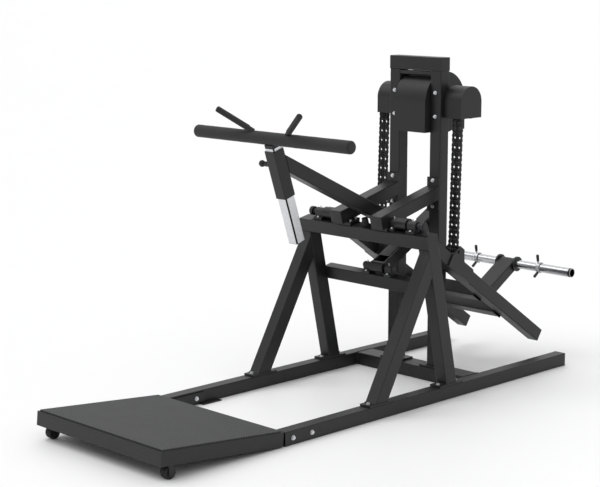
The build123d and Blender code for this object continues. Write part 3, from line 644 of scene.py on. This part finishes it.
class OBJECT_OT_press_bearings(PressOperator):
    """Add bolts, seal rings and grease nipples to the bearing blocks"""
    bl_idname = "object.press_bearings"
    bl_label = "Bearing Fittings"

    def make(self, context):
        bolts, seals, nipples = (bmesh.new() for part in range(3))
        along = Vector((0, cos(FACE_TILT), sin(FACE_TILT)))
        up = Vector((0, -sin(FACE_TILT), cos(FACE_TILT)))
        lever, press = joint_at("lever_lift"), joint_at("arm_press")
        tip = [(-0.002, 0.0045), (0.003, 0.0045), (0.004, 0.0026), (0.008, 0.0026), (0.009, 0.0034),
               (0.011, 0.002)]
        flange_face = 0.027         # face of a shaft bearing's flange, ahead of the shaft
        bolt_rise = 0.062           # of its bolts above and below the shaft
        # pivot, inner and outer face, drop of the bolts, their spacing from the middle, cap radius
        blocks = [(lever, 0.184, 0.216, 0.0182, 0.0308, 0.0236),
                  (lever, 0.298, 0.352, 0.0182, 0.0308, 0.0236),
                  (press, 0.052, 0.098, 0.0222, 0.0245, 0.0186)]
        for side in SIDES.values():
            for pivot, near, far, drop, spread, cap in blocks:
                middle = Vector((side * (near + far) / 2, pivot.y, pivot.z))
                for step in (-1, 1):
                    hex_bolt(bolts, middle + along * step * spread - up * drop, up, 0.0062, 0.0055)
                seal = [(-0.001, cap * 0.9), (0.0008, cap * 0.88), (0.001, cap * 0.8), (0.0012, 0.0155)]
                for x, way in ((near, -1), (far, 1)):
                    lathe(seals, Vector((side * x, pivot.y, pivot.z)), ACROSS * side * way, seal, 36)
                lathe(nipples, middle + up * cap, up, tip, 14)
            for step in (-1, 1):
                place = Vector((side * POST_X, SHAFT.y - flange_face, SHAFT.z + step * bolt_rise))
                hex_bolt(bolts, place, Vector((0, 1, 0)), 0.008, 0.007)
        make_piece("bearing_bolts", bolts, "root", "zinc")
        make_piece("bearing_seals", seals, "root", "rubber_black")
        make_piece("grease_nipples", nipples, "root", "zinc")


class OBJECT_OT_press_welds(PressOperator):
    """Lay weld beads round the joints of the frame and the lever"""
    bl_idname = "object.press_welds"
    bl_label = "Weld Beads"

    def bead(self, mesh, corners, closed=True):
        """One bead along straight stretches between corners."""
        pairs = list(zip(corners, corners[1:])) + ([(corners[-1], corners[0])] if closed else [])
        ripple_step = 0.0022        # metres between points, three to a ripple
        points = []
        for first, second in pairs:
            count = max(int((second - first).length / ripple_step), 2)
            points += [first.lerp(second, step / count) for step in range(count)]
        sweep(mesh, points, bpy.context.scene.press_sizes.weld, 7, closed, 0.16)

    def make(self, context):
        root, lever = (bmesh.new() for part in range(2))
        signs = ((-1, -1), (1, -1), (1, 1), (-1, 1))
        top_of_flange = 80.6
        # x, y and half depth, in mm, of each half's mast post and two legs, where they meet their flanges
        feet = ((141.5, 757, 35.0), (417.5, 519, 40.9), (417.5, -13, 45.9))
        member = ((697, 5), (697, 70), (817, 70), (817, 5))     # outline of the cross member
        member_end = 382
        lever_inner = 0.2215        # just clear of a lever arm's inner face
        pivot = joint_at("lever_lift")
        way = Vector((0, cos(LEVER_SLOPE), sin(LEVER_SLOPE)))
        up = Vector((0, -sin(LEVER_SLOPE), cos(LEVER_SLOPE)))
        for side in SIDES.values():
            for x, y, half in feet:
                centre = at(side * x, y, top_of_flange)
                self.bead(root, [centre + Vector((a * TUBE_HALF, b * half / 1000, 0)) for a, b in signs])
            self.bead(root, [at(side * member_end, y, z) for y, z in member], closed=False)
            for distance in (0.8, 1.01):
                centre = Vector((side * lever_inner, pivot.y, pivot.z)) + way * distance - up * 0.008
                self.bead(lever, [centre + way * a * TUBE_HALF + up * b * TUBE_HALF for a, b in signs])
        make_piece("frame_welds", root, "root", "frame_black")
        make_piece("lever_welds", lever, "lever", "frame_black")


class OBJECT_OT_press_caps(PressOperator):
    """Close the open tube ends with pressed-in caps"""
    bl_idname = "object.press_caps"
    bl_label = "Tube Caps"

    def cap(self, mesh, centre, out, across, width, height):
        """Cap with rounded corners and a slightly domed face."""
        out = out.normalized()
        up = out.cross(across).normalized()
        radius = 0.005
        rings = []
        for inset, rise in ((0.0, 0.0), (0.0, 0.0014), (0.0012, 0.0024), (0.006, 0.003)):
            ring = []
            for quarter, (a, b) in enumerate(((1, 1), (-1, 1), (-1, -1), (1, -1))):
                for step in range(5):
                    turn = radians(90 * quarter + 22.5 * step)
                    x = a * (width / 2 - radius - inset) + radius * cos(turn)
                    y = b * (height / 2 - radius - inset) + radius * sin(turn)
                    ring.append(centre + across * x + up * y + out * rise)
            rings.append(ring)
        skin(mesh, rings)

    def make(self, context):
        root, lever, arm, post = (bmesh.new() for part in range(4))
        # middles of the open ends in the side view, in mm
        brace_end, head_end, lever_end = (276.8, 906.1), (757, 1689.5), (1473.5, 150.6)
        post_end = (-150.2, 848.5)
        brace = Vector((0, cos(BRACE_SLOPE), sin(BRACE_SLOPE)))
        way = Vector((0, cos(LEVER_SLOPE), sin(LEVER_SLOPE)))
        for side in SIDES.values():
            self.cap(root, at(side * 141.5, *brace_end), -brace, ACROSS, 0.08, TUBE)
            self.cap(root, at(side * 176.5, *head_end), ACROSS * side, Vector((0, 1, 0)), TUBE, 0.071)
            self.cap(lever, at(side * 257, *lever_end), way, ACROSS, TUBE, TUBE)
        pivot = joint_at("arm_press")
        tail = (joint_at("centre_chain_swing") - pivot).normalized()
        square = Vector((0, -tail.z, tail.y))
        self.cap(arm, pivot + tail * 0.47 - square * 0.006, tail, ACROSS, TUBE, TUBE)
        foot = Vector((0, sin(POST_LEAN), -cos(POST_LEAN)))
        self.cap(post, at(0, *post_end), foot, ACROSS, 0.06, 0.06)
        make_piece("frame_tube_caps", root, "root", "plastic_black")
        make_piece("lever_tube_caps", lever, "lever", "plastic_black")
        make_piece("tail_tube_cap", arm, "press_arm", "plastic_black")
        make_piece("post_foot_cap", post, "tbar", "plastic_black")


class OBJECT_OT_press_wheels(PressOperator):
    """Turn the transport wheels with a grooved tread and a hub"""
    bl_idname = "object.press_wheels"
    bl_label = "Wheels"

    def make(self, context):
        for name in SIDES:
            low, high = (Vector(corner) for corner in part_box(f"wheel_{name}"))
            middle = (low + high) / 2
            radius = (high.z - low.z) / 2
            width = high.x - low.x
            start = Vector((low.x, middle.y, middle.z))
            mesh = bmesh.new()
            profile = [(0.004, 0.0066), (0.004, 0.017), (0.0006, 0.019), (0.0, radius - 0.006),
                       (0.0016, radius - 0.0016), (0.005, radius)]
            for groove in (width * 0.33, width * 0.67):
                profile += [(groove - 0.0022, radius), (groove - 0.0012, radius - 0.002),
                            (groove + 0.0012, radius - 0.002), (groove + 0.0022, radius)]
            profile += [(width - distance, size) for distance, size in reversed(profile[:6])]
            lathe(mesh, start, ACROSS, profile, 48)
            make_piece(f"tread_wheel_{name}", mesh, f"wheel_{name}_body", "rubber_black", [f"wheel_{name}"])


class SCENE_OT_press_stage(PressOperator):
    """Set up the floor, the lights and the camera"""
    bl_idname = "scene.press_stage"
    bl_label = "Stage"

    def soft_light(self, name, place, spread, strength):
        """Wide soft light that falls from a place towards the machine."""
        data = bpy.data.lights.new(name, "SUN")
        data.angle = radians(spread)
        data.energy = strength
        lamp = bpy.data.objects.new(name, data)
        lamp.location = place
        lamp.rotation_euler = (-Vector(place)).to_track_quat("-Z", "Y").to_euler()
        bpy.context.scene.collection.objects.link(lamp)

    def make(self, context):
        settings = context.scene.press_stage
        mesh = bpy.data.meshes.new("studio_floor")
        reach, level = 400.0, -0.0005
        corners = ((-reach, -reach), (reach, -reach), (reach, reach), (-reach, reach))
        mesh.from_pydata([(x, y, level) for x, y in corners], [], [(0, 1, 2, 3)])
        floor = bpy.data.objects.new("studio_floor", mesh)
        context.scene.collection.objects.link(floor)
        coat = Coat("press_floor")
        tint = coat.blend(coat.noise(0.6), shade(settings.floor, 0.985), shade(settings.floor, 1.0))
        mesh.materials.append(coat.surface(tint, 0.5 + coat.noise(3.0) * 0.1))
        world = bpy.data.worlds.new("studio")
        world.use_nodes = True
        background = world.node_tree.nodes["Background"]
        background.inputs["Color"].default_value = (1.0, 1.0, 1.0, 1.0)
        background.inputs["Strength"].default_value = 0.55
        context.scene.world = world
        self.soft_light("key", (-2.0, -3.0, 6.0), 50, settings.key)
        self.soft_light("side", (4.0, -1.0, 5.0), 60, settings.key * 0.25)
        self.soft_light("back", (-3.0, 4.0, 5.0), 60, settings.key * 0.35)
        data = bpy.data.cameras.new("camera")
        data.lens = settings.lens
        data.clip_end = 1500.0
        camera = bpy.data.objects.new("camera", data)
        camera.location = at(5543.8, -5611.3, 2201.2)
        look_down, turn = radians(9.95), radians(45.32)
        camera.rotation_euler = (pi / 2 - look_down, 0, turn)
        context.scene.collection.objects.link(camera)
        context.scene.camera = camera
        context.scene.view_settings.view_transform = "Standard"


class VIEW3D_PT_press(bpy.types.Panel):
    """Sidebar panel of the leg press"""
    bl_label = "Leg Press"
    bl_space_type = "VIEW_3D"
    bl_region_type = "UI"
    bl_category = "Leg Press"

    def draw(self, context):
        for group in (context.scene.press_finish, context.scene.press_sizes, context.scene.press_stage):
            for name in group.bl_rna.properties.keys():
                if name not in ("rna_type", "name"):
                    self.layout.prop(group, name)
        for operator in OPERATORS:
            self.layout.operator(operator.bl_idname)


GROUPS = {"press_finish": PressFinish, "press_sizes": PressSizes, "press_stage": PressStage}
OPERATORS = (OBJECT_OT_press_coats, OBJECT_OT_press_chains, OBJECT_OT_press_tbar, OBJECT_OT_press_clips,
             OBJECT_OT_press_bearings, OBJECT_OT_press_welds, OBJECT_OT_press_caps,
             OBJECT_OT_press_wheels, SCENE_OT_press_stage)


def register():
    """Register the classes and their settings."""
    for name, group in GROUPS.items():
        bpy.utils.register_class(group)
        setattr(bpy.types.Scene, name, PointerProperty(type=group))
    for made in OPERATORS + (VIEW3D_PT_press,):
        bpy.utils.register_class(made)


def unregister():
    """Take the classes and their settings away."""
    for made in reversed(OPERATORS + (VIEW3D_PT_press,)):
        bpy.utils.unregister_class(made)
    for name, group in GROUPS.items():
        delattr(bpy.types.Scene, name)
        bpy.utils.unregister_class(group)


def main():
    """Make every piece in order."""
    register()
    bpy.ops.object.press_coats()
    bpy.ops.object.press_chains()
    bpy.ops.object.press_tbar()
    bpy.ops.object.press_clips()
    bpy.ops.object.press_bearings()
    bpy.ops.object.press_welds()
    bpy.ops.object.press_caps()
    bpy.ops.object.press_wheels()
    bpy.ops.scene.press_stage()


if __name__ == "__main__":
    main()
